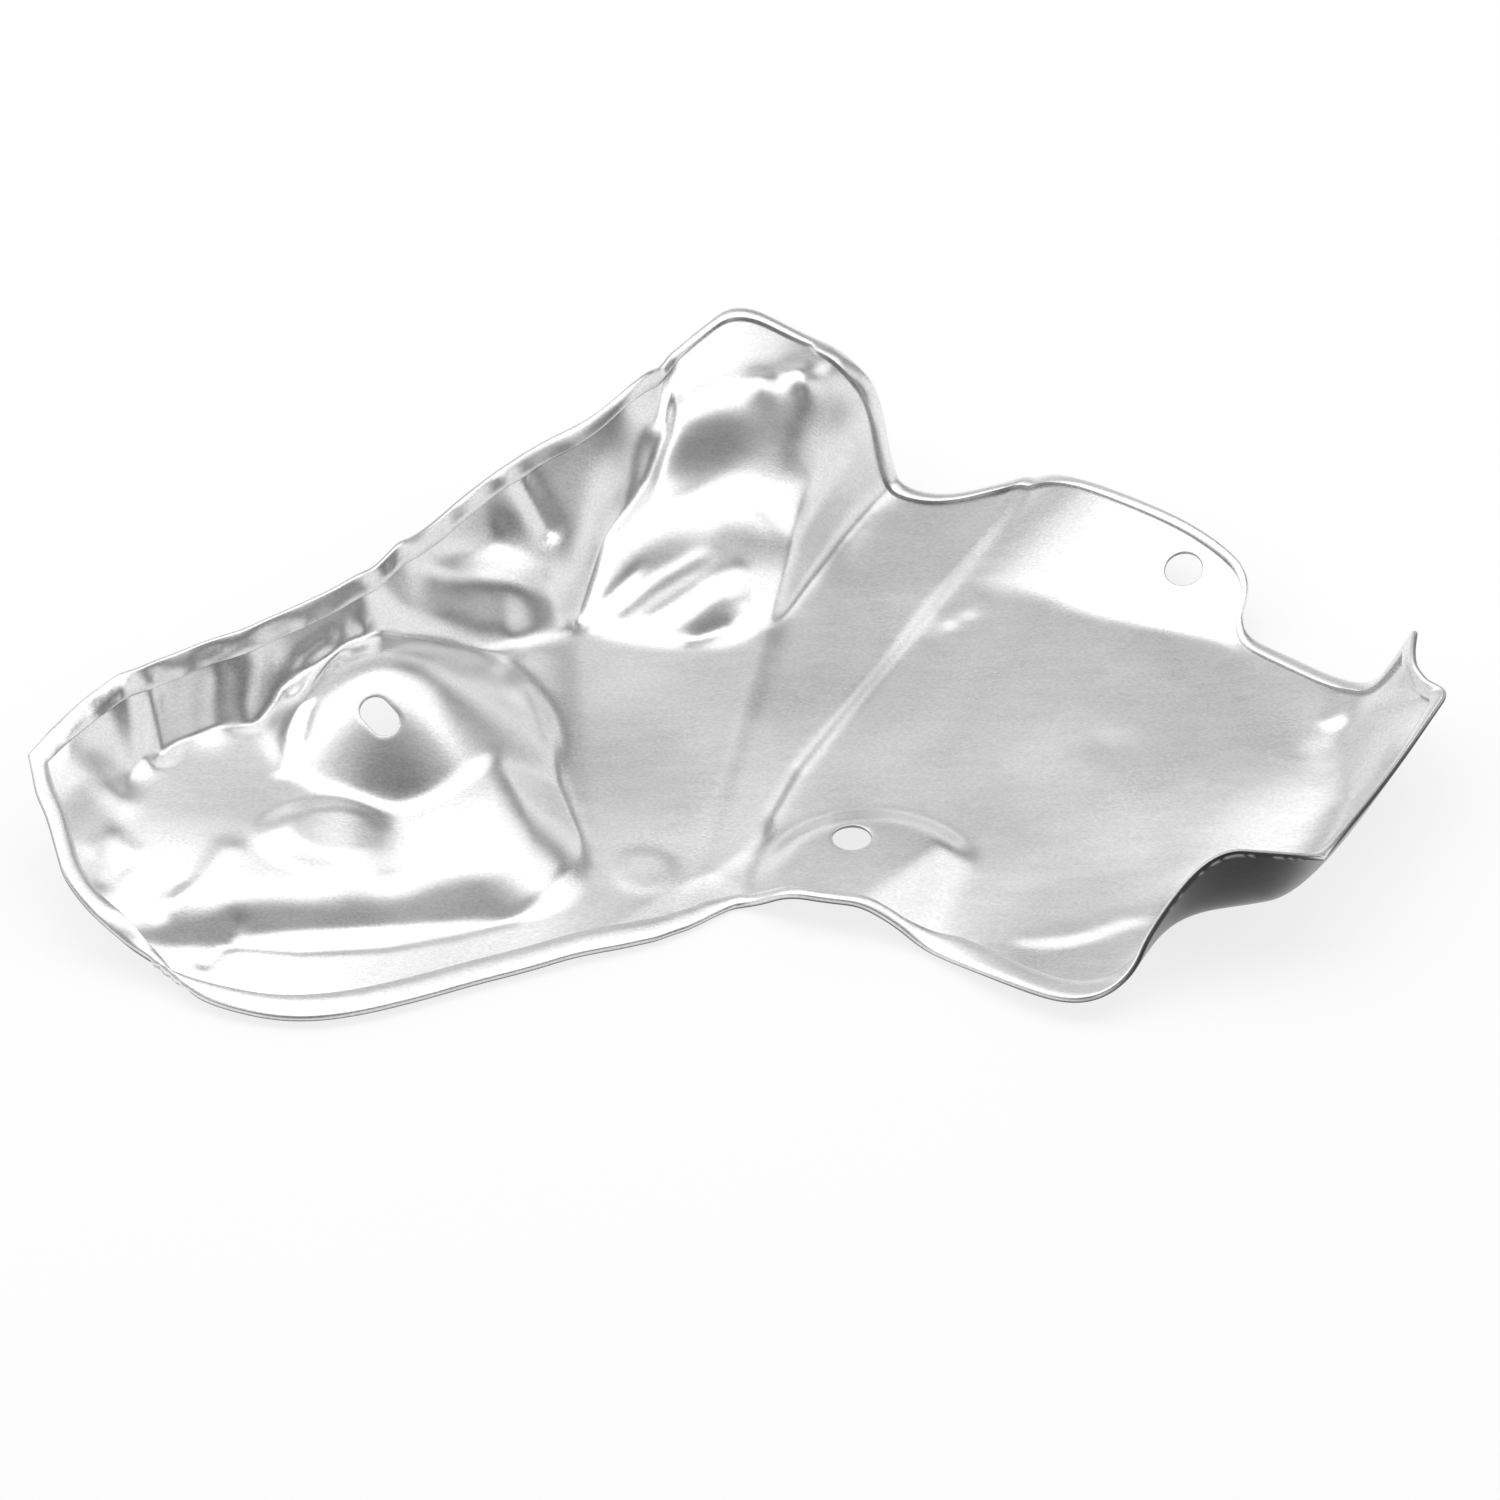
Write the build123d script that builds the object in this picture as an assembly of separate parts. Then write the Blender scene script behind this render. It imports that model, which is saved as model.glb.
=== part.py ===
from build123d import *
import os

import numpy as np

# Exhaust heat shield: one aluminium sheet, pressed to form, hemmed all round.
# X runs along the shield, Y from its front edge to its back rim, Z up.
# It lies as it rests on a table, with the hollow exhaust side up.

# Overall size, in millimetres. Places and heights below are taken from it.
LENGTH = 327.0
DEPTH = 214.5
HEIGHT = 41.0

# The sheet, its hem and its folds
SHEET = 0.8
HEM_WIDTH = 5.0
FOLD_LENGTH = 7.0
FLOOR_START = 12.0
CRISP_BEND = 1.5
BEND = 4.0
SOFT_BEND = 12.0


def at(across, back):
    """Place in plan, in hundredths of the length and of the depth off the middle."""
    return (across * LENGTH / 100, back * DEPTH / 100)


# Raised pad in the left half, which slopes down towards the front edge and into the back wall
PAD_FOOT = 1.0
PAD_TOP = 0.27 * HEIGHT
PAD_SLOPE = 0.62
PAD_TILT = 0.11
PAD_CORNER = 24.0
PAD_RIGHT_EDGE = (at(-11.3, -21.0), at(-16.5, 9.8))
PAD_FRONT_EDGE = (at(-31.5, -39.2), at(-15.3, -33.1))
PAD_BEND = -0.163 * DEPTH
PAD_LEFT = at(-26.3, 0.0)[0]
PAD_LEFT_RUN = 30.0
PAD_LEFT_SHIFT = 22.0
PAD_BACK = 0.098 * DEPTH
PAD_FADE = 40.0

# Domed boss with the slotted fixing hole, against the back wall
SLOT_BOSS = at(-25.2, -5.6)
SLOT_BOSS_TOP = 0.622 * HEIGHT
SLOT_BOSS_SLOPE = 1.0
SLOT_BOSS_ROUND = 14.0
SLOT_PLACE = at(-25.5, -11.5)
SLOT_LENGTH = 10.5
SLOT_WIDTH = 7.0
SLOT_TURN = -50.0

# Shallow oval and round press marks
OVAL = at(-28.4, -24.9)
OVAL_HALF = (20.0, 13.5)
OVAL_HEIGHT = 1.8
OVAL_LEAN = 1.3
OVAL_EDGE = 0.55
ROUND_MARK = at(-6.7, -25.6)
ROUND_MARK_RADIUS = 9.0
ROUND_MARK_HEIGHT = 0.4
ROUND_MARK_EDGE = 2.0

# Boss with a round fixing hole, at the front edge, and the facet on its right side
FRONT_BOSS = at(9.5, -28.4)
FRONT_BOSS_RADIUS = 27.0
FRONT_BOSS_FOOT = 2.0
FRONT_BOSS_TOP = 0.156 * HEIGHT
FRONT_BOSS_SLOPE = 0.5
FACET_EDGE = (at(9.4, -32.0), at(14.0, -22.1))
FACET_SLOPE = 0.27
FRONT_HOLE_PLACE = at(7.8, -22.4)
EAR_HOLE_PLACE = at(31.9, 20.8)
HOLE_DIAMETER = 9.0

# Step along the waist, down to the right half
WAIST_STEP = (at(21.0, 40.4), at(1.1, -19.5))
WAIST_DROP = 1.6
WAIST_RUN = 8.0

# Steps in the right half: shelf in front of the panel, pocket in the front corner
SHELF_SLOPE = 0.06
SHELF_TURN = at(23.5, -28.0)
SHELF_LEVEL = -0.289 * DEPTH
SHELF_SLANT = 0.405
SHELF_START = at(13.5, 0.0)[0]
SHELF_START_RUN = 14.0
POCKET_DROP = 1.6
POCKET_RUN = 6.0
POCKET_EDGE = (at(20.2, -39.2), at(27.5, -35.0))
POCKET_LEFT = at(18.3, 0.0)[0]
POCKET_RIGHT = at(30.6, 0.0)[0]
POCKET_SIDE_RUN = 9.0

# Lines of points from which the skins are drawn, how much finer the form is worked out
# first, and how many points around a hole set the way it faces
ACROSS = 34
ALONG = 60
FINER = 10
SEAT_POINTS = 12


def section(front, foot, rim, start=None, middle=None, wall=None, shoulder=None):
    """One chain of points across the sheet, from its front edge to its back rim.

    Points are in hundredths of the length, depth and height. The floor starts a fixed way
    behind the front edge, its middle is half way to the wall's foot, and the wall is
    straight, unless a section says otherwise. Two more points beside the foot set how
    tight the fold is.
    """
    size = np.array([LENGTH, DEPTH, HEIGHT]) / 100
    front, foot, rim = (np.array(point) * size for point in (front, foot, rim))
    way = foot - front
    start = front + way * FLOOR_START / np.hypot(way[0], way[1]) if start is None else np.array(start) * size
    middle = (start + foot) / 2 if middle is None else np.array(middle) * size
    wall = (2 * foot + rim) / 3 if wall is None else np.array(wall) * size
    shoulder = (wall + rim) / 2 if shoulder is None else np.array(shoulder) * size
    floor_side = middle - foot
    wall_side = wall - foot
    return [
        front,
        start,
        middle,
        foot + floor_side * FOLD_LENGTH / np.linalg.norm(floor_side),
        foot,
        foot + wall_side * min(FOLD_LENGTH / np.linalg.norm(wall_side), 0.6),
        wall,
        shoulder,
        rim,
    ]


# Sections of the form from the left end to the right end.
SECTIONS = np.array([
    # Rim, slope and foot of the left end wall
    section((-39.4, -43.4, 4.9), (-48.3, -26.6, 43.9), (-49.8, -19.1, 56.1), (-42.5, -40.6, 12.2),
            (-46.8, -34.5, 29.3),
            (-49.2, -23.3, 48.8), (-49.5, -21, 53.7)),
    section((-38.5, -45.2, 2.4), (-44.6, -20, 34.1), (-47.4, -13.1, 61), (-40.4, -41.5, 7.3),
            (-44, -31.7, 23.2)),
    section((-36.4, -47.3, 1.2), (-41.4, -12.1, 22), (-43.7, -7.5, 63.4), (-37.3, -42.4, 4.9),
            (-40.7, -27.5, 19.5)),
    # Left half, with the back wall rising to the right
    section((-31.8, -49.4, 0), (-36.9, -8.9, 22), (-37.9, -2.6, 64.6), None, (-35.5, -27.5, 17.1)),
    section((-27.5, -49, 0), (-32.3, -6.1, 22), (-33, 1.4, 68.3), None, (-30.6, -27, 12.2)),
    section((-22.6, -46.2, 0), (-26.3, -1.2, 19.5), (-26.3, 7.9, 73.2), None, (-24.8, -22.4, 9.8)),
    section((-18.3, -43.1, 0), (-20.8, 5.1, 13.4), (-20.3, 20, 78)),
    section((-14.7, -41, 0), (-16.8, 9.3, 9.8), (-15.4, 27.7, 82.9)),
    section((-11.9, -39.2, 0), (-13.8, 12.6, 7.3), (-10.1, 34, 80.5)),
    section((-10.1, -38.2, 0), (-12.2, 14.9, 4.9), (-7.3, 38.7, 85.4), None, None, (-10.7, 22.8, 34.1),
            (-8.9, 31.2, 58.5)),
    # Valley between the back wall and the tall hill
    section((-8.6, -37.5, 0), (-11.3, 14.9, 4.9), (-5.7, 42, 85.4), None, None, (-10.1, 22.8, 24.4),
            (-7, 32.2, 48.8)),
    section((-7.3, -36.8, 0), (-8.3, 12.6, 4.9), (-3.1, 47.1, 87.8), None, None, (-6.7, 22.4, 26.8),
            (-4.6, 32.2, 68.3)),
    # Hill with its ridge and steep right flank
    section((-6.1, -36.1, 0), (-4, 11.7, 4.9), (-0.3, 50.8, 92.7), None, None, (-2.6, 24.2, 30.5),
            (-1.4, 35.9, 80.5)),
    section((-5.4, -35.4, 0), (-0.3, 11.9, 4.9), (4, 48, 82.9), None, None, (1.1, 24.7, 31.7),
            (2.4, 37.3, 76.8)),
    section((-4.6, -34.7, 0), (1.5, 13.5, 7.3), (8, 44.8, 73.2), None, None, (2.9, 23.8, 29.3),
            (5, 36.8, 67.1)),
    section((-4, -34.3, 0), (2.3, 14.9, 7.3), (9.8, 42.9, 65.9), None, None, (4, 23.8, 25.6),
            (6.9, 35.9, 53.7)),
    section((-3.4, -33.6, 0), (3.7, 17.2, 4.9), (10.9, 40.3, 12.2), None, None, (5.2, 24.2, 4.9),
            (8, 33.1, 7.3)),
    section((-2.8, -32.9, 0), (5.5, 20, 4.9), (11.9, 38.2, 4.9)),
    # Waist, with the step down to the right half
    section((-1.8, -31.7, 0), (10.1, 21.9, 4.9), (15, 37.3, 2.4)),
    section((-0.3, -30.1, 0), (13.8, 21, 4.9), (19.3, 39.6, 2.4)),
    section((1.9, -31.1, 2.4), (15.6, 21.9, 4.9), (20.8, 39.6, 7.3)),
    # Right half, with the ear that tilts up behind its fold
    section((4.9, -32.7, 2.4), (20.2, 21, 4.9), (23.2, 37.8, 22)),
    section((9.5, -34.1, 2.4), (24.5, 17, 6.3), (29.1, 30.1, 34.1), None, (16.5, -8.9, 8.8)),
    section((13.8, -38.7, 2.4), (29.1, 14.5, 7.8), (33.6, 24.5, 32.9), (15, -36.8, 7.3),
            (21.7, -12.1, 11.2)),
    section((19, -45.2, 12.2), (33, 12.6, 8.8), (37, 19.1, 23.2), (20.5, -40.6, 13.4), (26, -14.5, 12.2)),
    section((23.5, -48.7, 18.3), (34.9, 10.7, 9.8), (35.5, 12.6, 9.8), (24.8, -41.5, 15.9),
            (29.4, -15.9, 13.7)),
    section((26.9, -45.7, 24.4), (37.6, 5.1, 11.7), (39.1, 7.9, 12.2), (27.8, -39.2, 15.9),
            (32.4, -17.2, 14.6)),
    # Front wall, right end wall and its horn
    section((28.4, -41, 41.5), (40.4, 0.5, 14.6), (42.8, 2.8, 15.9), (29.7, -35.4, 9.8),
            (35.5, -20, 14.6)),
    section((32.7, -36.8, 75.6), (42.8, -4.2, 17.1), (45.3, 0.9, 20.7), (33.3, -33.6, 3.7),
            (40.1, -23.3, 9.8)),
    section((37, -36.6, 70.7), (46.2, -5.1, 34.1), (46.6, 1.4, 39), (37.5, -33.6, 9.8), (43.1, -21.9, 22)),
    section((40.4, -35, 61), (49.8, -7.5, 56.1), (47.9, 2.3, 53.7), (41.6, -31.2, 58.5),
            (45.6, -20, 56.1), (48.3, -5.1, 53.7), (47.4, -1.9, 53.7)),
])


def weights(count, places):
    """Shares of the control points at places from 0 to 1 along a quadratic spline."""
    spans = count - 2
    knots = np.concatenate([np.zeros(2), np.arange(spans + 1), np.full(2, spans)])
    shares = np.zeros((len(places), count))
    for row, place in enumerate(np.asarray(places) * spans):
        first = min(int(place), spans - 1)
        share = [1.0]
        for degree in (1, 2):
            raised = [0.0] * (degree + 1)
            for step, value in enumerate(share):
                low = knots[first + 3 - degree + step]
                high = knots[first + 3 + step]
                part = (place - low) / (high - low)
                raised[step] += (1 - part) * value
                raised[step + 1] += part * value
            share = raised
        shares[row, first:first + 3] = share
    return shares


def ease(way):
    """Soft step from 0 to 1."""
    way = np.clip(way, 0, 1)
    return way * way * (3 - 2 * way)


def lower(one, two, blend):
    """The lower of two heights, rounded where they cross."""
    share = np.clip(0.5 + 0.5 * (two - one) / blend, 0, 1)
    return two + (one - two) * share - blend * share * (1 - share)


def upper(one, two, blend):
    """The higher of two heights, rounded where they cross."""
    return -lower(-one, -two, blend)


def left_of(x, y, line):
    """Distance to the left of a line through two points."""
    (ax, ay), (bx, by) = line
    return ((bx - ax) * (y - ay) - (by - ay) * (x - ax)) / np.hypot(bx - ax, by - ay)


def pressed(x, y, z):
    """Height after the pads, bosses, marks and steps are pressed in."""
    inside = lower(left_of(x, y, PAD_RIGHT_EDGE), left_of(x, y, PAD_FRONT_EDGE), PAD_CORNER)
    bend = PAD_BEND - PAD_LEFT_SHIFT * ease((PAD_LEFT - x) / PAD_LEFT_RUN)
    top = PAD_TOP - PAD_FOOT - PAD_TILT * upper(bend - y, 0, SOFT_BEND)
    top = top * ease((PAD_BACK - y) / PAD_FADE)
    z = upper(z, PAD_FOOT + lower(top, PAD_SLOPE * inside, BEND), CRISP_BEND)

    reach = np.hypot(x - SLOT_BOSS[0], y - SLOT_BOSS[1])
    dome = SLOT_BOSS_TOP - SLOT_BOSS_SLOPE * (np.hypot(reach, SLOT_BOSS_ROUND) - SLOT_BOSS_ROUND)
    z = upper(z, dome, CRISP_BEND)

    reach = np.hypot((x - OVAL[0]) / OVAL_HALF[0], (y - OVAL[1]) / OVAL_HALF[1])
    lean = 1 - OVAL_LEAN * (x - OVAL[0]) / OVAL_HALF[0]
    z = z + OVAL_HEIGHT * lean * ease((1 - reach) / OVAL_EDGE)
    reach = np.hypot(x - ROUND_MARK[0], y - ROUND_MARK[1])
    z = z + ROUND_MARK_HEIGHT * ease((ROUND_MARK_RADIUS - reach) / ROUND_MARK_EDGE)

    reach = np.hypot(x - FRONT_BOSS[0], upper(y - FRONT_BOSS[1], 0, BEND))
    facet = FRONT_BOSS_TOP + FACET_SLOPE * left_of(x, y, FACET_EDGE)
    side = FRONT_BOSS_FOOT + FRONT_BOSS_SLOPE * (FRONT_BOSS_RADIUS - reach)
    z = upper(z, lower(lower(FRONT_BOSS_TOP, facet, CRISP_BEND), side, BEND), CRISP_BEND)

    z = z + WAIST_DROP * ease(0.5 - left_of(x, y, WAIST_STEP) / WAIST_RUN)
    crease = upper(SHELF_LEVEL, SHELF_TURN[1] + SHELF_SLANT * (x - SHELF_TURN[0]), BEND)
    z = z - SHELF_SLOPE * upper(crease - y, 0, CRISP_BEND) * ease((x - SHELF_START) / SHELF_START_RUN)
    between = ease((x - POCKET_LEFT) / POCKET_SIDE_RUN) * ease((POCKET_RIGHT - x) / POCKET_SIDE_RUN)
    return z - POCKET_DROP * ease(-left_of(x, y, POCKET_EDGE) / POCKET_RUN) * between


def spaced(line, count):
    """Points evenly spaced along a line, with the two hem ends second and last but one."""
    run = np.concatenate([[0], np.cumsum(np.linalg.norm(np.diff(line, axis=0), axis=1))])
    ways = np.concatenate([[0], np.linspace(HEM_WIDTH, run[-1] - HEM_WIDTH, count - 2), [run[-1]]])
    return np.column_stack([np.interp(ways, run, line[:, axis]) for axis in range(3)])


def form():
    """Grid of points on the upper face: sections from left to right, each from front to back."""
    along = weights(len(SECTIONS), np.linspace(0, 1, FINER * ALONG))
    across = weights(len(SECTIONS[0]), np.linspace(0, 1, FINER * ACROSS))
    fine = np.einsum("ai,bj,ijk->abk", along, across, SECTIONS)
    fine[..., 2] = pressed(fine[..., 0], fine[..., 1], fine[..., 2])
    crossing = np.array([spaced(line, ACROSS) for line in fine])
    return np.array([spaced(line, ALONG) for line in crossing.swapaxes(0, 1)]).swapaxes(0, 1)


def upward(grid):
    """Unit normals of the grid, on the upper side."""
    normal = np.cross(np.gradient(grid, axis=0), np.gradient(grid, axis=1))
    return normal / np.linalg.norm(normal, axis=2, keepdims=True)


def outward(grid):
    """Unit directions out of the sheet along its edge, and none inside it."""
    away = np.zeros_like(grid)
    for outer, inner in ((0, 1), (-1, -2)):
        ends = grid[outer] - grid[inner]
        away[outer] += ends / np.linalg.norm(ends, axis=1, keepdims=True)
        sides = grid[:, outer] - grid[:, inner]
        away[:, outer] += sides / np.linalg.norm(sides, axis=1, keepdims=True)
    return away / np.maximum(np.linalg.norm(away, axis=2, keepdims=True), 1)


def skin(points):
    """Smooth face lofted through a grid of points."""
    places = list(np.linspace(0, 1, points.shape[1]))
    wires = [Wire([Edge.make_spline([tuple(point) for point in line], parameters=places)]) for line in points]
    return Shell.make_loft(wires).face()


def edges_of(face, grid):
    """The four edges of a skin: left, right, front and back."""
    along, across = len(grid) // 2, len(grid[0]) // 2
    middles = (grid[0, across], grid[-1, across], grid[along, 0], grid[along, -1])
    return [face.edges().sort_by_distance(tuple(middle))[0] for middle in middles]


def sheet(grid, up):
    """The hemmed sheet as a closed solid, before its holes are punched."""
    away = outward(grid)
    inside = (slice(1, -1), slice(1, -1))

    # The fold runs round the edge from the under face to the top of the hem
    turns = np.radians([-90, -30, 30, 90])
    rolled = [grid + SHEET * (np.sin(turn) * up + np.cos(turn) * away) for turn in turns]
    fold_skins = [skin(points) for points in rolled]
    hem_skin = skin(rolled[-1][inside])
    floor_skin = skin(grid[inside])

    lines = [edges_of(face, points) for face, points in zip(fold_skins, rolled)]
    lines += [edges_of(hem_skin, rolled[-1][inside]), edges_of(floor_skin, grid[inside])]
    faces = [fold_skins[0], floor_skin]
    for first, second in zip(lines[:-1], lines[1:]):
        faces += [Face.make_surface_from_curves(one, two) for one, two in zip(first, second)]
    return Solid(Shell(faces))


def seat(place, grid, up):
    """Plane on the upper face at a place in plan, facing up out of the sheet."""
    flat = grid.reshape(-1, 3)
    gap = np.hypot(flat[:, 0] - place[0], flat[:, 1] - place[1])
    near = np.argsort(gap)[:SEAT_POINTS]
    normal = up.reshape(-1, 3)[near].mean(axis=0)
    centre = flat[near].mean(axis=0)
    height = centre[2] - (normal[0] * (place[0] - centre[0]) + normal[1] * (place[1] - centre[1])) / normal[2]
    return Plane(origin=(place[0], place[1], height), z_dir=tuple(normal))


grid = form()
up = upward(grid)
shield = sheet(grid, up)
hole = Circle(HOLE_DIAMETER / 2)
slot = SlotOverall(SLOT_LENGTH, SLOT_WIDTH, rotation=SLOT_TURN)
punch_reach = 5 * SHEET
for sketch, place in ((hole, FRONT_HOLE_PLACE), (hole, EAR_HOLE_PLACE), (slot, SLOT_PLACE)):
    shield -= extrude(seat(place, grid, up) * sketch, amount=punch_reach, both=True)

box = shield.bounding_box()
shield = Pos(-box.center().X, -box.center().Y, -box.min.Z) * shield
os.makedirs("parts", exist_ok=True)
export_step(shield, "parts/heat_shield.step")
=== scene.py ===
from math import radians

import bmesh
import bpy
import numpy as np
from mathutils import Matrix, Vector


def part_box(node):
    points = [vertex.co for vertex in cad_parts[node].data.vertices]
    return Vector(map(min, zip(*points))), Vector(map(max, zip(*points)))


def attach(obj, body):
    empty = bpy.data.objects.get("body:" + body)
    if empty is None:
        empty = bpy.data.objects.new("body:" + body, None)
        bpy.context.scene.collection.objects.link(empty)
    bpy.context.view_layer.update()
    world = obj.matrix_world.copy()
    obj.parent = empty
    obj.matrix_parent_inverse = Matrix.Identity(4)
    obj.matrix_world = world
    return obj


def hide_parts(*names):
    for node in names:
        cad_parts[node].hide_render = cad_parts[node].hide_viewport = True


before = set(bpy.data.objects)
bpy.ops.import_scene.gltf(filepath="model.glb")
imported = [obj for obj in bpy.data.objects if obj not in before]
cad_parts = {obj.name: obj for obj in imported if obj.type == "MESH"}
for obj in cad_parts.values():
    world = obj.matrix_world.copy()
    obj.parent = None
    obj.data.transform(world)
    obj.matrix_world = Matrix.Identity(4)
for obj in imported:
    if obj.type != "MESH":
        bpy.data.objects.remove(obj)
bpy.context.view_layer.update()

# The shield is one sheet of soft aluminium, drawn in a press to a hollow dish, with its raw
# edge folded over on the hollow side into a flat hem all round. Sizes are in millimetres,
# and the finished mesh is set into the box of the solid part.
SHEET = 0.8
FOLD_LENGTH = 7.0
FOLD_SHARE = 0.6
FLOOR_START = 12.0

# Heights of the rims, of the left wall's foot and of the floor
LEFT_RIM = 26.0
BACK_RIM = 34.0
PEAK_RIM = 38.0
EAR_RIM = 14.0
FRONT_RIM = 31.0
END_RIM = 23.0
LEFT_FOOT = 9.0
FLOOR = 2.0
PANEL = 5.0
PANEL_END = 7.0


def section(front, foot, rim, start=None, middle=None, wall=None, shoulder=None):
    """One chain of points across the sheet, from its front edge to its back rim.

    The floor starts a fixed way behind the front edge, its middle is half way to the wall's
    foot, and the wall is straight, unless a section says otherwise. Two more points beside
    the foot set how tight the fold is.
    """
    front, foot, rim = (np.array(point, float) for point in (front, foot, rim))
    way = foot - front
    floor_start = front + way * FLOOR_START / np.hypot(way[0], way[1])
    start = floor_start if start is None else np.array(start, float)
    middle = (start + foot) / 2 if middle is None else np.array(middle, float)
    wall = (2 * foot + rim) / 3 if wall is None else np.array(wall, float)
    shoulder = (wall + rim) / 2 if shoulder is None else np.array(shoulder, float)
    floor_side = middle - foot
    wall_side = wall - foot
    return [
        front,
        start,
        middle,
        foot + floor_side * FOLD_LENGTH / np.linalg.norm(floor_side),
        foot,
        foot + wall_side * min(FOLD_LENGTH / np.linalg.norm(wall_side), FOLD_SHARE),
        wall,
        shoulder,
        rim,
    ]


# Sections of the form from the left end to the right end
SECTIONS = np.array([
    # Rim, slope and foot of the left end wall
    section((-131, -80, 2), (-160, -44, 18), (-165, -28, END_RIM), (-141, -74, 5), (-155, -61, 12),
            (-163, -37, 20), (-164, -32, 22)),
    section((-128, -84, 1), (-148, -30, 14), (-157, -15, LEFT_RIM - 1), (-134, -76, 3), (-146, -55, 9.5)),
    section((-121, -88.5, 0.5), (-137.5, -13, LEFT_FOOT), (-145, -3, LEFT_RIM), (-124, -78, 2),
            (-135, -46, 8)),
    # Left half, with the back wall rising to the right
    section((-106, -93, 0), (-122.5, -6, LEFT_FOOT), (-126, 7.5, LEFT_RIM + 0.5), None, (-118, -46, 7)),
    section((-92, -92, 0), (-107.5, 0, LEFT_FOOT), (-110, 16, LEFT_RIM + 2), None, (-102, -45, 5)),
    section((-76, -86, 0), (-88, 10.5, LEFT_FOOT - 1), (-88, 30, LEFT_RIM + 4), None, (-83, -35, 4)),
    section((-62, -79.5, 0), (-70, 24, LEFT_FOOT - 3.5), (-68.5, 56, BACK_RIM - 2)),
    section((-50, -75, 0), (-57, 33, FLOOR + 2), (-52.5, 72.5, BACK_RIM)),
    section((-41, -71, 0), (-47, 40, FLOOR + 1), (-35, 86, BACK_RIM - 1)),
    section((-35, -69, 0), (-42, 45, FLOOR), (-26, 96, BACK_RIM + 1), None, None, (-37, 62, 14),
            (-31, 80, 24)),
    # Valley between the back wall and the tall hill
    section((-30, -67.5, 0), (-39, 45, FLOOR), (-20.5, 103, BACK_RIM + 1), None, None, (-35, 62, 10),
            (-25, 82, 20)),
    section((-26, -66, 0), (-29, 40, FLOOR), (-12, 114, PEAK_RIM - 2), None, None, (-24, 61, 11),
            (-17, 82, 28)),
    # Hill with its ridge and steep right flank
    section((-22, -64.5, 0), (-15, 38, FLOOR), (-3, 122, PEAK_RIM), None, None, (-10.5, 65, 12.5),
            (-6.5, 90, 33)),
    section((-19.5, -63, 0), (-3, 38.5, FLOOR), (11, 116, PEAK_RIM - 4), None, None, (1.5, 66, 13),
            (6, 93, 31.5)),
    section((-17, -61.5, 0), (3, 42, FLOOR + 1), (24, 109, PEAK_RIM - 8), None, None, (7.5, 64, 12),
            (14.5, 92, 27.5)),
    section((-15, -60.5, 0), (5.5, 45, FLOOR + 1), (30, 105, PEAK_RIM - 11), None, None, (11, 64, 10.5),
            (20.5, 90, 22)),
    section((-13, -59, 0), (10, 50, FLOOR), (33.5, 99.5, FLOOR + 3), None, None, (15, 65, FLOOR),
            (24, 84, FLOOR + 1)),
    section((-11, -57.5, 0), (16, 56, FLOOR), (37, 95, FLOOR)),
    # Waist, with the step down to the right half
    section((-8, -55, 0), (31, 60, FLOOR), (47, 93, 1)),
    section((-3, -51.5, 0), (43, 58, FLOOR), (61, 98, 1)),
    section((4, -53.5, 1), (49, 60, FLOOR), (66, 98, 3)),
    # Right half, with the ear that tilts up behind its fold
    section((14, -57, 1), (64, 58, 2), (74, 94, EAR_RIM - 5)),
    section((29, -60, 1), (78, 49.5, 2.6), (93, 77.5, EAR_RIM), None, (52, -6, PANEL - 1.4)),
    section((43, -70, 1), (93, 44, 3.2), (108, 65.5, EAR_RIM - 0.5), (47, -66, 3), (69, -13, PANEL - 0.4)),
    section((60, -84, 5), (106, 40, 3.6), (119, 54, EAR_RIM - 4.5), (65, -74, 5.5), (83, -18, PANEL)),
    section((75, -91.5, 7.5), (112, 36, 4), (114, 40, 4), (79, -76, 6.5), (94, -21, PANEL + 0.6)),
    section((86, -85, 10), (121, 24, 4.8), (126, 30, 5), (89, -71, 6.5), (104, -24, PANEL + 1)),
    # Front wall, right end wall and its horn
    section((91, -75, 17), (130, 14, PANEL_END - 1), (138, 19, PANEL_END - 0.5), (95, -63, 4),
            (114, -30, PANEL + 1)),
    section((105, -66, FRONT_RIM), (138, 4, PANEL_END), (146, 15, PANEL_END + 1.5), (107, -59, 1.5),
            (129, -37, 4)),
    section((119, -65.5, FRONT_RIM - 2), (149, 2, 14), (150.5, 16, 16), (120.5, -59, 4), (139, -34, 9)),
    section((130, -62, END_RIM + 2), (161, -3, END_RIM), (154.6, 18, END_RIM - 1), (134, -54, END_RIM + 1),
            (147, -30, END_RIM), (156, 2, END_RIM - 1), (153, 9, END_RIM - 1)),
])


def weights(count, places):
    """Shares of the control points at places from 0 to 1 along a quadratic spline."""
    spans = count - 2
    knots = np.concatenate([np.zeros(2), np.arange(spans + 1), np.full(2, spans)])
    shares = np.zeros((len(places), count))
    for row, place in enumerate(np.asarray(places) * spans):
        first = min(int(place), spans - 1)
        share = [1.0]
        for degree in (1, 2):
            raised = [0.0] * (degree + 1)
            for step, value in enumerate(share):
                low = knots[first + 3 - degree + step]
                high = knots[first + 3 + step]
                part = (place - low) / (high - low)
                raised[step] += (1 - part) * value
                raised[step + 1] += part * value
            share = raised
        shares[row, first:first + 3] = share
    return shares


def ease(way):
    """Soft step from 0 to 1."""
    way = np.clip(way, 0, 1)
    return way * way * (3 - 2 * way)


def lower(one, two, blend):
    """The lower of two heights, rounded where they cross."""
    share = np.clip(0.5 + 0.5 * (two - one) / blend, 0, 1)
    return two + (one - two) * share - blend * share * (1 - share)


def upper(one, two, blend):
    """The higher of two heights, rounded where they cross."""
    return -lower(-one, -two, blend)


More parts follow.
